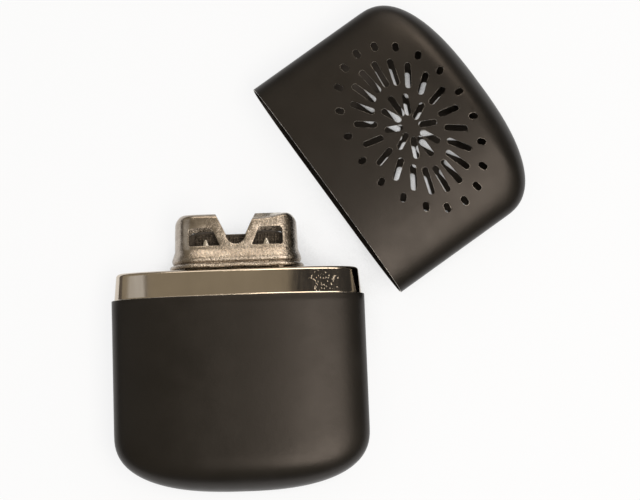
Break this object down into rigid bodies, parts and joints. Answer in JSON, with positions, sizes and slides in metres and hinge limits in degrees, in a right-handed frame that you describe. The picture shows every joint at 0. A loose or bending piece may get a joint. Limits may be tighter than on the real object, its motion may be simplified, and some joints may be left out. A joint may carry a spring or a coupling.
{
  "type": "catalytic hand warmer",
  "caption": "Pocket hand warmer: oval fuel tank with a bright collar and a catalyst burner on its neck, and a pierced push-on cap laid aside beside it.",
  "frame": {"origin": "centre of the flat land on the tank's back, which lies on the surface z = 0", "axes": "+X across the tank towards the cap laid aside, +Y from the tank's foot towards its burner, +Z out of the tank's front face"},
  "size_m": [0.1103, 0.1277, 0.016],
  "materials": {
    "tank_coating": "satin",
    "cap_coating": "satin",
    "collar_plating": "polished",
    "burner_steel": "rough",
    "net_wire": "rough",
    "catalyst_wool": "matte",
    "cotton": "matte",
    "felt": "matte"
  },
  "bodies": {
    "tank": {"tank_shell": "tank_coating", "collar": "collar_plating", "filler_neck": "collar_plating", "cotton_filling": "cotton", "felt_pad": "felt"},
    "burner": {"burner_housing": "burner_steel", "vapour_plate": "burner_steel", "catalyst_pad": "catalyst_wool", "front_net": "net_wire", "rear_net": "net_wire", "pad_tongues": "burner_steel"},
    "cap": {"cap_shell": "cap_coating"}
  },
  "joints": [
    {"name": "burner_pull_off", "type": "slide", "parent": "tank", "child": "burner", "axis": [0, 1, 0], "range_m": [0, 0.016]},
    {"name": "cap_on_and_off", "type": "hinge", "parent": "tank", "child": "cap", "pos_m": [0.038, 0.0165, 0.008], "axis": [0, 0, 1], "range_deg": [0, 56]}
  ]
}
